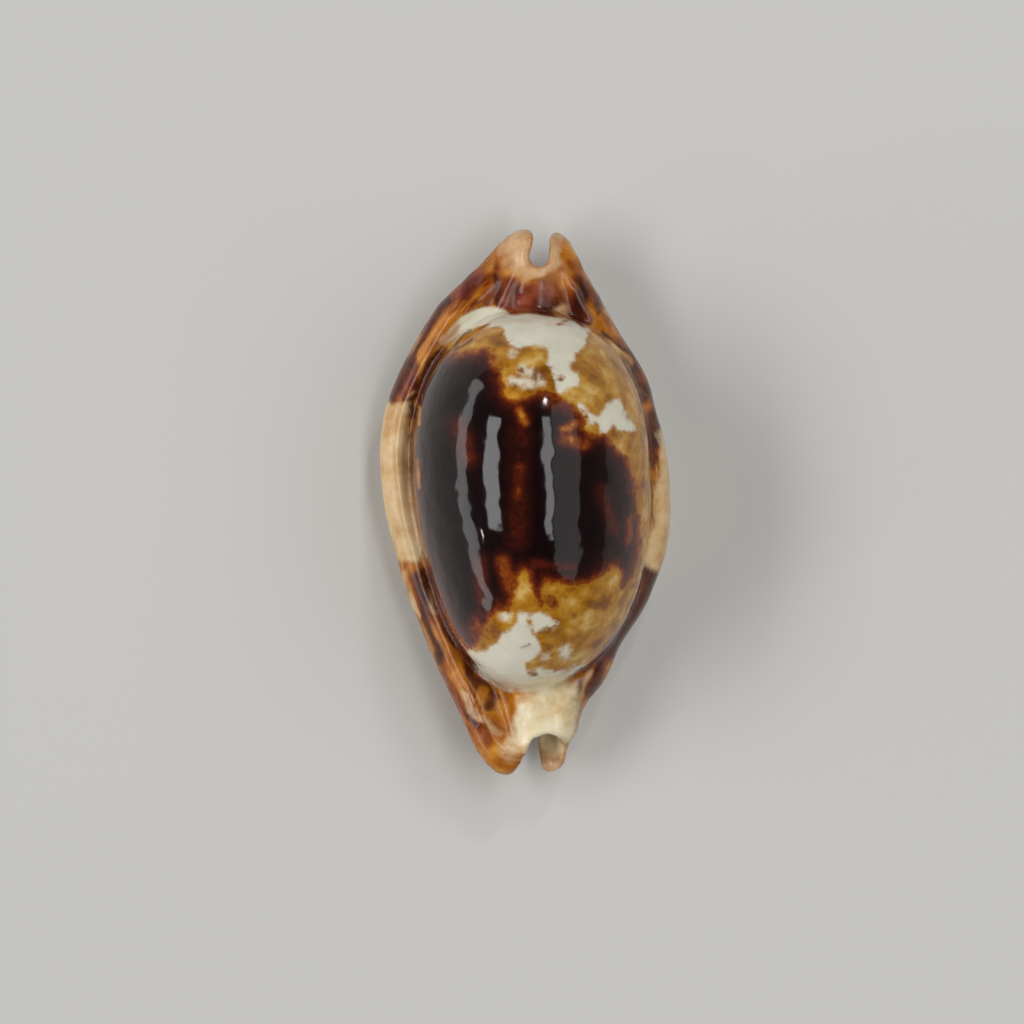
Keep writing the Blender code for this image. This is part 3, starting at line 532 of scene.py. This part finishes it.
LIVER_WASH = [
    (1, 0.75, [(-0.6, 11.6), (-0.2, 11.0), (0.7, 10.9)]), (1, 0.85, [(0.4, 11.6), (1.3, 11.5)]),
    (1, 0.5, [(-1.1, 10.8), (-0.7, 10.7), (1.3, 10.7)]), (0.9, 0.45, [(-1.4, 12.8), (-1.2, 11.6)]),
    (0.95, 0.55, [(-3.2, 11.6), (-2.8, 12.2)]), (0.9, 0.45, [(-6.3, 7.0), (-6.1, 6.2)]),
    (0.9, 0.5, [(2.8, 11.2), (3.2, 10.0)]), (0.9, 0.45, [(-2.9, -11.4), (-2.5, -11.9)]),
]
# Cream of the horns, the collar, the prong and streaks of the callus. The stroke through (-3.1, -10.6),
# (-2.6, -11.8) and (-1.7, -12.6), along the ridge of the labral flange near the anterior end, is a painted
# highlight.
CREAM_AND_HIGHLIGHT_WASH = [
    (1, 0.9, [(-0.1, 14.6), (-0.5, 13.8), (-0.3, 13.2)]), (1, 0.45, [(1.6, 14.3), (1.6, 13.4)]),
    (1, 0.35, [(-0.1, 13.0), (0.9, 12.8), (1.7, 13.0)]), (0.9, 0.2, [(-6.2, 5.8), (-6.4, 4.9)]),
    (0.8, 0.2, [(-5.6, -4.8), (-4.9, -6.1)]), (0.9, 0.35, [(3.4, -9.7), (3.1, -10.5)]),
    (0.8, 0.35, [(1.9, 10.9), (2.5, 10.2)]), (0.8, 0.2, [(-6.7, -4.1), (-6.1, -5.8), (-5.8, -6.5)]),
    (0.8, 0.2, [(4.0, 11.2), (4.5, 10.3)]), (0.7, 0.35, [(-3.1, -10.6), (-2.6, -11.8), (-1.7, -12.6)]),
    (0.9, 0.4, [(5.6, -4.9), (5.9, -5.5)]), (0.8, 0.2, [(-4.3, 8.9), (-3.7, 9.6)]),
    (1, 1.3, [(1.4, -13.3), (1.5, -14.6)]), (0.8, 0.65, [(-0.8, -13.8), (-0.3, -13.2)]),
]
# Dark brown streaks of the callus. The thin strokes that run along the dorsum's edge, down the groove between
# margin and dome, are painted shade in that groove.
UMBER_AND_GROOVE_SHADE_WASH = [
    (0.9, 0.3, [(-1.6, 12.4), (-1.4, 10.9)]), (1, 0.5, [(1.2, 10.6), (1.8, 11.0)]),
    (1, 0.5, [(3.0, 11.8), (2.9, 10.9), (3.1, 10.1)]),
    (0.9, 0.3, [(-4.2, 11.1), (-4.9, 10.2), (-5.5, 9.2), (-6.2, 8.1), (-6.7, 7.1)]),
    (0.9, 0.3, [(-6.7, 7.0), (-7.2, 5.9), (-7.4, 5.4)]),
    (1, 0.3, [(-4.6, 8.3), (-5.2, 7.7), (-5.7, 6.8), (-5.9, 5.9), (-6.2, 5.3)]),
    (1, 0.35, [(-6.2, 5.2), (-6.0, 4.3)]),
    (1, 0.35, [(-6.2, 4.4), (-6.2, 2.7), (-6.1, 1.1), (-5.9, -0.7), (-5.6, -2.6)]),
    (1, 0.35, [(-5.9, -4.2), (-5.6, -5.2), (-5.3, -6.4)]),
    (1, 0.4, [(-5.4, -3.9), (-4.8, -5.4), (-4.1, -6.8)]),
    (0.9, 0.3, [(-4.3, -6.6), (-3.6, -8.1), (-2.7, -9.5)]),
    (0.9, 0.35, [(-5.6, -6.6), (-5.1, -7.7), (-4.7, -8.8)]),
    (0.8, 0.3, [(-3.0, -9.4), (-2.4, -10.2), (-1.6, -10.7)]), (0.9, 0.2, [(-3.0, -11.6), (-2.5, -12.6)]),
    (0.9, 0.25, [(-1.9, -10.6), (-1.8, -11.5)]),
    (0.9, 0.2, [(4.5, 9.4), (5.0, 8.8), (5.7, 8.0), (6.1, 7.2), (6.5, 6.5), (6.8, 5.5)]),
    (0.9, 0.35, [(5.2, 7.5), (5.9, 6.5)]), (1, 0.4, [(6.2, 5.9), (6.4, 5.4)]),
    (1, 0.35, [(7.2, 5.3), (7.3, 4.3), (7.2, 3.4)]), (1, 0.45, [(6.7, 4.3), (7.0, 3.2)]),
    (0.9, 0.2, [(6.7, 3.2), (6.9, 1.7), (7.0, 0.1), (6.9, -1.6), (6.5, -2.7)]),
    (1, 0.35, [(6.4, -3.1), (6.6, -3.8)]), (1, 0.75, [(7.1, -4.0), (6.6, -5.1), (6.0, -6.2), (5.3, -7.3)]),
    (1, 0.5, [(5.2, -7.2), (4.5, -8.3)]), (0.9, 0.4, [(4.1, -8.9), (3.7, -10.4)]),
    (0.9, 0.2, [(6.4, -4.9), (5.6, -6.3), (4.8, -7.6), (4.1, -8.5), (3.2, -9.2)]),
    (1, 0.3, [(2.9, -9.9), (2.8, -10.9), (2.8, -11.7)]),
    (0.9, 0.2, [(-4.3, 8.1), (-3.6, 8.6), (-2.9, 9.1)]), (0.8, 0.25, [(3.7, 11.2), (4.0, 10.4)]),
]
TUBE_WASH = [
    (1, 1.75, [(1.5, -11.0), (1.5, -12.2)]), (1, 1.1, [(0.4, -11.8), (-0.1, -12.7)]),
    (0.9, 0.65, [(1.7, -13.2), (1.7, -13.8)]),
]


# Further off than any mark reaches
FAR = 1e9


def to_route(x, y, route):
    """Distance in plan from each place to a route of straight pieces."""
    best = np.full(len(x), FAR)
    for (ax, ay), (bx, by) in zip(route, route[1:] or route):
        dx, dy = bx - ax, by - ay
        t = np.clip(((x - ax) * dx + (y - ay) * dy) / max(dx * dx + dy * dy, TINY), 0.0, 1.0)
        best = np.minimum(best, (x - ax - t * dx) ** 2 + (y - ay - t * dy) ** 2)
    return np.sqrt(best)


def rounded_loop(points, steps=5):
    """A smooth closed curve through the points of an outline."""
    p = np.array(points)
    before, after, beyond = np.roll(p, 1, 0), np.roll(p, -1, 0), np.roll(p, -2, 0)
    curve = []
    for t in np.arange(steps) / steps:
        curve.append(0.5 * (2 * p + (after - before) * t + (2 * before - 5 * p + 4 * after - beyond) * t ** 2
                            + (3 * p - before - 3 * after + beyond) * t ** 3))
    return np.stack(curve, axis=1).reshape(-1, 2)


def to_patches(x, y, outlines):
    """Distance in plan to the nearest edge of a set of outlines, negative inside any of them."""
    nearest = np.full(len(x), FAR)
    for outline in outlines:
        loop = rounded_loop(outline)
        inside = np.zeros(len(x), dtype=bool)
        for (ax, ay), (bx, by) in zip(loop, np.roll(loop, -1, 0)):
            crosses = (ay > y) != (by > y)
            inside ^= crosses & (x < ax + (y - ay) * (bx - ax) / (by - ay or TINY))
        away = to_route(x, y, [*loop, loop[0]])
        nearest = np.minimum(nearest, np.where(inside, -away, away))
    return nearest


def to_strokes(x, y, strokes):
    """Distance in plan to the nearest edge of a set of strokes, negative inside any of them."""
    nearest = np.full(len(x), FAR)
    for radius, route in strokes:
        nearest = np.minimum(nearest, to_route(x, y, route) - radius)
    return nearest


# A soft stroke stands at its strength less WASH_EDGE on its route, and lower by WASH_FALL at its width.
# UNSEEN is the value of a mark where it never shows, as on the inside.
WASH_EDGE = 0.5
WASH_FALL = 0.7
UNSEEN = -9.0


def wash(x, y, strokes):
    """How much a set of soft strokes covers each place: 0 at the edges, and less the further out."""
    cover = np.full(len(x), UNSEEN)
    for full, width, route in strokes:
        cover = np.maximum(cover, full - WASH_EDGE - WASH_FALL * (to_route(x, y, route) / width) ** 2)
    return cover


# The marks lie on the outer skin, and on both faces of the thin tips
OUTER_DEPTH = 0.5
TIP_SPAN = (11.8, 12.6)
shown = (envelope > -OUTER_DEPTH) | (np.abs(y) > TIP_SPAN[0])
plan_x, plan_y = x[shown], y[shown]

# The spots and washes drift off their routes, by two unlike samples of one noise, so that they look grown
DRIFT = 0.5
DRIFT_LENGTH = 1.2
DRIFT_SHIFT = Vector((7.3, 2.9, 5.1))
samples = [Vector(spot) / DRIFT_LENGTH for spot in place[shown].tolist()]
drift_x = plan_x + DRIFT * np.array([noise.noise(sample) for sample in samples])
drift_y = plan_y + DRIFT * np.array([noise.noise(sample + DRIFT_SHIFT) for sample in samples])

# The dark coat deepens inwards from its edge, by DARK_DEPTH at most and by less where it is thin
DARK_DEPTH = 1.3
THIN_JOIN = 0.3
dark = -np.minimum(to_patches(plan_x, plan_y, DARK), to_strokes(plan_x, plan_y, DARK_STROKES))
thick = DARK_DEPTH * np.clip(WASH_EDGE - wash(plan_x, plan_y, THIN), 0.0, 1.0)

# Every mark is a number for each vertex, above 0 where its colour lies and below 0 elsewhere
drawn = {
    "dorsum": -to_patches(plan_x, plan_y, [DORSUM_EDGE]),
    "ground": to_patches(plan_x, plan_y, WHITE),
    "dots": -to_strokes(plan_x, plan_y, WHITE_DOTS),
    "dark": soft_min(dark, thick, THIN_JOIN),
    "spots": -to_strokes(drift_x, drift_y, SPOTS),
    "margin": -to_patches(plan_x, plan_y, CREAM),
    "amber": wash(drift_x, drift_y, AMBER_WASH),
    "rust": wash(drift_x, drift_y, RUST_WASH),
    "liver": wash(drift_x, drift_y, LIVER_WASH),
    # Cream of the callus and ends, and a painted highlight on the labral flange's ridge near the anterior end
    "cream_and_highlight": wash(drift_x, drift_y, CREAM_AND_HIGHLIGHT_WASH),
    # Dark brown of the callus, and painted shade along the groove between margin and dome
    "umber_and_groove_shade": wash(drift_x, drift_y, UMBER_AND_GROOVE_SHADE_WASH),
    "tube": wash(drift_x, drift_y, TUBE_WASH),
}

# Marks laid on from above would smear down the dome's steep sides, so the dorsum's own colours go on there
ON_DORSUM = ("ground", "dots", "dark", "spots")
WALL_FOOT = 4.5
WALL_RISE = 0.6
WALL_END_SPAN = (6.0, 9.0)
climb = WALL_RISE * np.maximum(z[shown] - WALL_FOOT, 0.0) * (1.0 - ease(np.abs(plan_y), *WALL_END_SPAN))
marks = {}
for name, values in drawn.items():
    if name == "dorsum":
        values += climb
    elif name not in ON_DORSUM:
        values -= climb
    marks[name] = np.full(len(x), UNSEEN)
    marks[name][shown] = values

# The pale coat of the base and the inside, the dips between the teeth, and the girth that the strands follow
UNDER_HEIGHT = 1.3
INSIDE_DEPTH = 1.0
TIP_FADE = 2.0
GAP_EDGE = 0.65
tips = ease(np.abs(y), *TIP_SPAN)
marks["under"] = np.maximum(UNDER_HEIGHT - z, (-INSIDE_DEPTH - envelope) * (1.0 - tips) - TIP_FADE * tips)
across = x - np.interp(y, APERTURE_Y, APERTURE_X)
between, row, beside = teeth(y, across, aperture_half_width(y))
marks["gaps"] = between * row * beside - GAP_EDGE - np.maximum(z - TOOTH_HEIGHTS[0], 0.0)
marks["girth"] = z + plan_depth(x, y)

# Low ripples of growth, higher at the ends, which make the reflections on the enamel wander.
# The layers of their noise: how fast they fade, how much finer each is than the last, and their number.
RIPPLE_HEIGHT = 0.02
END_RIPPLE_HEIGHT = 0.07
END_RIPPLE_SPAN = (9.0, 11.5)
RIPPLE_LENGTH = 1.1
RIPPLE_FOOT = 0.5
RIPPLE_LAYERS = (1.0, 2.2, 2)
_, slope = field_slope(place)
outward = slope / np.maximum(np.linalg.norm(slope, axis=1), TINY)[:, None]
ripple = np.array([noise.fractal(Vector(spot) / RIPPLE_LENGTH, *RIPPLE_LAYERS) for spot in place.tolist()])
height = RIPPLE_HEIGHT + (END_RIPPLE_HEIGHT - RIPPLE_HEIGHT) * ease(np.abs(y), *END_RIPPLE_SPAN)
place += (height * ripple * shown * (z > RIPPLE_FOOT))[:, None] * outward

mesh.vertices.foreach_set("co", place.ravel())
mesh.transform(Matrix.Scale(MM, 4))
mesh.shade_smooth()
mesh.update()
for name, values in marks.items():
    layer = mesh.attributes.new(name, "FLOAT", "POINT")
    layer.data.foreach_set("value", values.astype(np.float32))


def linear(code):
    """An sRGB hex colour as the linear values that the shader takes."""
    parts = [int(code[i:i + 2], 16) / 255.0 for i in (0, 2, 4)]
    return [c / 12.92 if c <= 0.04045 else ((c + 0.055) / 1.055) ** 2.4 for c in parts] + [1.0]


def add(tree, kind, sockets=(), stops=(), **settings):
    """A new node with its settings, its sockets set or linked, and its colour stops."""
    node = tree.nodes.new("ShaderNode" + kind)
    for name, value in settings.items():
        setattr(node, name, value)
    for socket, value in dict(sockets).items():
        if isinstance(value, bpy.types.NodeSocket):
            tree.links.new(value, node.inputs[socket])
        else:
            node.inputs[socket].default_value = value
    for i, (position, code) in enumerate(stops):
        stop = node.color_ramp.elements[i] if i < 2 else node.color_ramp.elements.new(position)
        stop.position = position
        stop.color = linear(code)
    return node


# Porcelaneous enamel, which the mantle laid down coat upon coat and left as smooth as a fired glaze. It gives
# the eye mirror-sharp lights on the dorsum, softer ones on the callus, and colours that look wet and deep.
# Its IOR is set below aragonite's 1.53, or the pale room would lay a grey veil over the dark coat.
enamel = bpy.data.materials.new("porcelaneous enamel")
enamel.use_nodes = True
tree = enamel.node_tree
shader = tree.nodes["Principled BSDF"]

# How many blots, crumbs and clouds of colour there are to 1 mm, and strands, across the margin and along it
BLOTS = 0.9
CRUMBS = 3.0
CLOUDS = 0.75
STRANDS = (1.6, 0.55)
# A noise keeps near its middle, so a colour takes only this stretch of it
GRAIN_SPAN = (0.33, 0.67)
spot = add(tree, "TexCoord").outputs["Object"]
spot = add(tree, "Mapping", {"Vector": spot, "Scale": (1 / MM,) * 3}).outputs["Vector"]
girth = add(tree, "Attribute", attribute_name="girth").outputs["Fac"]
along = add(tree, "SeparateXYZ", {"Vector": spot}).outputs["Y"]
strand = add(tree, "CombineXYZ", {"X": girth, "Y": along}).outputs["Vector"]
strand = add(tree, "Mapping", {"Vector": strand, "Scale": (*STRANDS, 1.0)}).outputs["Vector"]
grain = {
    "blot": add(tree, "TexNoise", {"Vector": spot, "Scale": BLOTS, "Detail": 4.0, "Roughness": 0.6}),
    "crumb": add(tree, "TexNoise", {"Vector": spot, "Scale": CRUMBS, "Detail": 3.0, "Roughness": 0.6}),
    "strand": add(tree, "TexNoise", {"Vector": strand, "Scale": 1.0, "Detail": 5.0, "Roughness": 0.65,
                                     "Distortion": 1.4}),
    "cloud": add(tree, "TexNoise", {"Vector": spot, "Scale": CLOUDS, "Detail": 4.0, "Roughness": 0.55}),
}
grain = {name: node.outputs["Fac"] for name, node in grain.items()}
tone = {}
for name in ("cloud", "strand"):
    spread = add(tree, "MapRange", {"Value": grain[name], "From Min": GRAIN_SPAN[0],
                                    "From Max": GRAIN_SPAN[1]})
    tone[name] = spread.outputs["Result"]

# The coats of colour from the lowest up, over the rust and amber of the bare callus. Each has the mark that
# bounds it, the grain that moves its edge and how far, how far the crumbs move it, how soft it is, what its
# colour follows, and its colours.
CALLUS_MOTTLE = ((0.0, "5a2006"), (0.35, "8c4c0e"), (0.65, "a86a1e"), (1.0, "c48e46"))
WHITE_ENAMEL = ((0.0, "d0cab6"), (1.0, "dcd6c4"))
COATS = [
    ("dorsum", "blot", 0.0, 0.2, 0.10, "cloud", WHITE_ENAMEL),
    ("ground", "blot", 0.9, 0.3, 0.14, "cloud", ((0.0, "7e4808"), (0.35, "a06a14"), (0.7, "b6842e"),
                                                 (1.0, "caa660"))),
    ("dots", "blot", 0.3, 0.5, 0.30, "cloud", WHITE_ENAMEL),
    ("dark", "blot", 0.8, 0.5, 0.12, "depth", ((0.0, "a66c1c"), (0.12, "803c10"), (0.3, "4c190b"),
                                               (0.55, "280d09"), (1.0, "120607"))),
    ("spots", "blot", 0.7, 0.6, 0.16, "cloud", ((0.0, "6e3f0c"), (1.0, "926022"))),
    ("amber", "strand", 1.3, 0.6, 0.60, "cloud", ((0.0, "94500a"), (0.5, "b06a16"), (1.0, "c88a34"))),
    ("rust", "strand", 1.4, 0.7, 0.60, "strand", ((0.0, "561c06"), (0.5, "7c3408"), (1.0, "a05614"))),
    ("liver", "strand", 1.2, 0.6, 0.60, "cloud", ((0.0, "3c0e08"), (0.5, "662418"), (1.0, "8c4830"))),
    # Cream of the callus and ends, and a painted highlight on the labral flange's ridge near the anterior end
    ("cream_and_highlight", "strand", 1.0, 0.5, 0.65, "cloud", ((0.0, "b68a60"), (1.0, "d0ac82"))),
    # Dark brown of the callus, and painted shade along the groove between margin and dome
    ("umber_and_groove_shade", "strand", 1.3, 0.7, 0.60, "strand", ((0.0, "200806"), (0.5, "3e1408"), (1.0, "6a3010"))),
    ("margin", "strand", 0.4, 0.2, 0.22, "cloud", ((0.0, "be9460"), (0.5, "ceac7c"), (1.0, "d8bc94"))),
    ("tube", "cloud", 0.5, 0.3, 0.50, "cloud", ((0.0, "d2b684"), (0.5, "dccaa0"), (1.0, "e4d8b8"))),
    ("under", "blot", 0.8, 0.3, 0.30, "cloud", ((0.0, "dcc6a0"), (0.5, "e6d8bc"), (1.0, "ede4d0"))),
    ("gaps", "blot", 0.4, 0.2, 0.30, "cloud", ((0.0, "c88c50"), (1.0, "dab080"))),
]
colour = add(tree, "ValToRGB", {"Fac": tone["strand"]}, CALLUS_MOTTLE).outputs["Color"]
for name, mover, wander, crumble, soft, signal, stops in COATS:
    edge = add(tree, "Attribute", attribute_name=name).outputs["Fac"]
    edge = add(tree, "Math", {0: grain[mover], 1: wander, 2: edge}, operation="MULTIPLY_ADD").outputs[0]
    edge = add(tree, "Math", {0: grain["crumb"], 1: crumble, 2: edge}, operation="MULTIPLY_ADD").outputs[0]
    middle = (wander + crumble) / 2.0
    amount = add(tree, "MapRange", {"Value": edge, "From Min": middle - soft, "From Max": middle + soft},
                 interpolation_type="SMOOTHSTEP").outputs["Result"]
    if name == "dorsum":
        dorsum = amount
    if name in ON_DORSUM:
        amount = add(tree, "Math", {0: amount, 1: dorsum}, operation="MULTIPLY").outputs[0]
    if name == "dark":
        depth = add(tree, "MapRange", {"Value": edge, "From Min": middle, "From Max": middle + DARK_DEPTH})
        tone["depth"] = depth.outputs["Result"]
    paint = add(tree, "ValToRGB", {"Fac": tone[signal]}, stops).outputs["Color"]
    colour = add(tree, "Mix", {0: amount, 6: colour, 7: paint}, data_type="RGBA").outputs[2]
tree.links.new(colour, shader.inputs["Base Color"])

CALLUS_ROUGHNESS = 0.22
DORSUM_ROUGHNESS = 0.08
gloss = add(tree, "MapRange", {"Value": dorsum, "To Min": CALLUS_ROUGHNESS, "To Max": DORSUM_ROUGHNESS})
tree.links.new(gloss.outputs["Result"], shader.inputs["Roughness"])
shader.inputs["IOR"].default_value = 1.36
mesh.materials.clear()
mesh.materials.append(enamel)

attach(shell, "root")
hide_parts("shell")


# The floor
# A sheet of pale, matt paper that the shell rests on. It lies flat and runs far past the edges of the view.
sheet = bmesh.new()
bmesh.ops.create_grid(sheet, x_segments=1, y_segments=1, size=3.0)
floor_mesh = bpy.data.meshes.new("floor")
sheet.to_mesh(floor_mesh)
sheet.free()
floor = bpy.data.objects.new("floor", floor_mesh)
bpy.context.scene.collection.objects.link(floor)
paper = bpy.data.materials.new("matt paper")
paper.use_nodes = True
paper_shader = paper.node_tree.nodes["Principled BSDF"]
paper_shader.inputs["Base Color"].default_value = linear("c6c5c2")
paper_shader.inputs["Roughness"].default_value = 0.9
floor_mesh.materials.append(paper)


# The lamps and the room
# Four long soft boxes stand beside and over the shell, and each is mirrored as a band of light along the
# dorsum. Two small lamps add its glints. The room round them is pale low down and dark overhead.

def panel(name, place, aim, width, height, watts):
    """A soft rectangular lamp, its width along the shell, that faces the given way."""
    data = bpy.data.lights.new(name, "AREA")
    data.shape = "RECTANGLE"
    data.size = width
    data.size_y = height
    data.energy = watts
    lamp = bpy.data.objects.new(name, data)
    lamp.location = place
    lamp.rotation_mode = "QUATERNION"
    lamp.rotation_quaternion = (-Vector(aim)).to_track_quat("Z", "Y")
    lamp.visible_camera = False
    bpy.context.scene.collection.objects.link(lamp)


panel("left wall", (-0.6, 0.0, 0.07), (1.0, 0.0, 0.0), 1.1, 0.14, 1.6)
panel("left strip", (-0.52, 0.05, 0.50), (1.0, 0.0, -0.9), 0.62, 0.19, 2.6)
panel("right wall", (0.375, 0.0, 0.43), (-0.72, 0.0, -0.69), 0.9, 0.34, 1.2)
panel("right strip", (0.19, 0.05, 0.58), (-0.3, 0.0, -1.0), 0.62, 0.11, 1.3)
panel("right glint", (0.15, 0.41, 0.42), (-0.3, -0.7, -0.7), 0.04, 0.07, 0.4)
panel("left glint", (-0.50, -0.22, 0.22), (0.9, 0.35, -0.35), 0.06, 0.02, 0.15)

world = bpy.data.worlds.new("studio")
bpy.context.scene.world = world
world.use_nodes = True
room = world.node_tree
up = add(room, "SeparateXYZ", {"Vector": add(room, "TexCoord").outputs["Generated"]}).outputs["Z"]
glow = add(room, "MapRange", {"Value": up, "From Min": 0.1, "From Max": 0.9, "To Min": 0.16, "To Max": 0.04})
room.links.new(glow.outputs["Result"], room.nodes["Background"].inputs["Strength"])
room.nodes["Background"].inputs["Color"].default_value = linear("fffefc")
bpy.context.scene.view_settings.view_transform = "Standard"


# The camera
# It hangs straight over the shell and looks down, with the posterior end at the top of its frame. The frame's
# width is taken at the height of the margins, where the outline is seen.
CAMERA_HEIGHT = 1.0
MARGIN_HEIGHT = 0.0025
FRAME_WIDTH = 0.05636
FRAME_CENTRE = (-0.000715, -0.000578)
camera_data = bpy.data.cameras.new("camera")
camera_data.lens = camera_data.sensor_width * (CAMERA_HEIGHT - MARGIN_HEIGHT) / FRAME_WIDTH
camera = bpy.data.objects.new("camera", camera_data)
camera.location = (*FRAME_CENTRE, CAMERA_HEIGHT)
bpy.context.scene.collection.objects.link(camera)
bpy.context.scene.camera = camera
